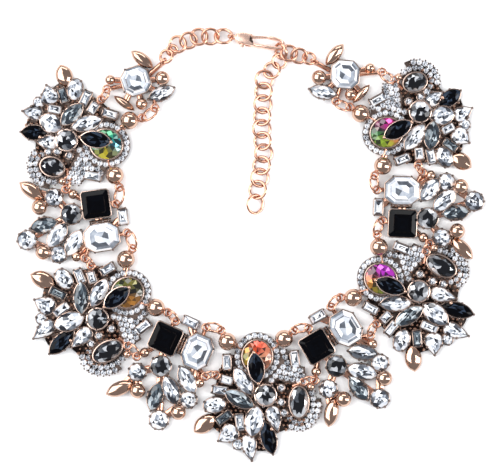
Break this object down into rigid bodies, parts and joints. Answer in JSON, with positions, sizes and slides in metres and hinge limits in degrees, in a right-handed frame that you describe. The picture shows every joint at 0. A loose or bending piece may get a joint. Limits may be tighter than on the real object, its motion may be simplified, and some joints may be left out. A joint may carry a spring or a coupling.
{
  "type": "bib necklace",
  "caption": "Rose-gold bib necklace of floral stone clusters and square-stone bars joined by jump rings, with a chain, a lobster clasp and an extension chain.",
  "frame": {"origin": "on the surface the necklace lies on, under the middle of its bounding box", "axes": "+X towards the wearer's left as the picture shows it, which is the picture's right; +Y from the bib's lowest point towards the clasp; +Z away from the skin"},
  "size_m": [0.1958, 0.1816, 0.0081],
  "materials": {
    "cast_rose_gold": "polished casting with rose-gold plating, darker in its recesses",
    "rose_gold": "bright polished rose-gold plating on wire",
    "rainbow_glass": "faceted foil-backed glass that shades from green to red",
    "hematite_glass": "faceted glass with a dark metallic coating",
    "black_glass": "faceted glossy black glass",
    "clear_glass": "faceted clear glass with silver foil behind"
  },
  "bodies": {
    "necklace": {"end_link_left": "cast_rose_gold", "rosette_1": "cast_rose_gold", "bar_1": "cast_rose_gold", "rosette_2": "cast_rose_gold", "bar_2": "cast_rose_gold", "rosette_3": "cast_rose_gold", "bar_3": "cast_rose_gold", "rosette_4": "cast_rose_gold", "bar_4": "cast_rose_gold", "rosette_5": "cast_rose_gold", "end_link_right": "cast_rose_gold", "rainbow_oval_1": "rainbow_glass", "rainbow_oval_2": "rainbow_glass", "rainbow_oval_3": "rainbow_glass", "rainbow_oval_4": "rainbow_glass", "rainbow_oval_5": "rainbow_glass", "centre_hematite_1": "hematite_glass", "centre_hematite_2": "hematite_glass", "centre_hematite_3": "hematite_glass", "centre_hematite_4": "hematite_glass", "centre_hematite_5": "hematite_glass", "hematite_oval_1": "hematite_glass", "hematite_oval_2": "hematite_glass", "hematite_oval_3": "hematite_glass", "hematite_oval_4": "hematite_glass", "hematite_oval_5": "hematite_glass", "black_square_1": "black_glass", "black_square_2": "black_glass", "black_square_3": "black_glass", "black_square_4": "black_glass", "clear_octagon_1": "clear_glass", "clear_octagon_2": "clear_glass", "clear_octagon_3": "clear_glass", "clear_octagon_4": "clear_glass", "end_octagon_1": "clear_glass", "end_octagon_2": "clear_glass", "jump_ring_1": "rose_gold", "jump_ring_2": "rose_gold", "jump_ring_3": "rose_gold", "jump_ring_4": "rose_gold", "jump_ring_5": "rose_gold", "jump_ring_6": "rose_gold", "jump_ring_7": "rose_gold", "jump_ring_8": "rose_gold", "jump_ring_9": "rose_gold", "jump_ring_10": "rose_gold", "jump_ring_11": "rose_gold", "jump_ring_12": "rose_gold", "jump_ring_13": "rose_gold", "jump_ring_14": "rose_gold", "jump_ring_15": "rose_gold", "jump_ring_16": "rose_gold", "jump_ring_17": "rose_gold", "jump_ring_18": "rose_gold", "neck_chain_left": "rose_gold", "neck_chain_right": "rose_gold", "extension_chain": "rose_gold", "clasp_body": "rose_gold"},
    "lever": {"clasp_lever": "rose_gold"}
  },
  "joints": [
    {"name": "clasp_lever_hinge", "type": "hinge", "parent": "necklace", "child": "lever", "pos_m": [-0.00248, 0.08638, 0.0029], "axis": [0.0325, 0.2054, 0.9781], "range_deg": [-15, 0], "stiffness_Nm_per_rad": 0.02, "springref_deg": 11.46}
  ]
}
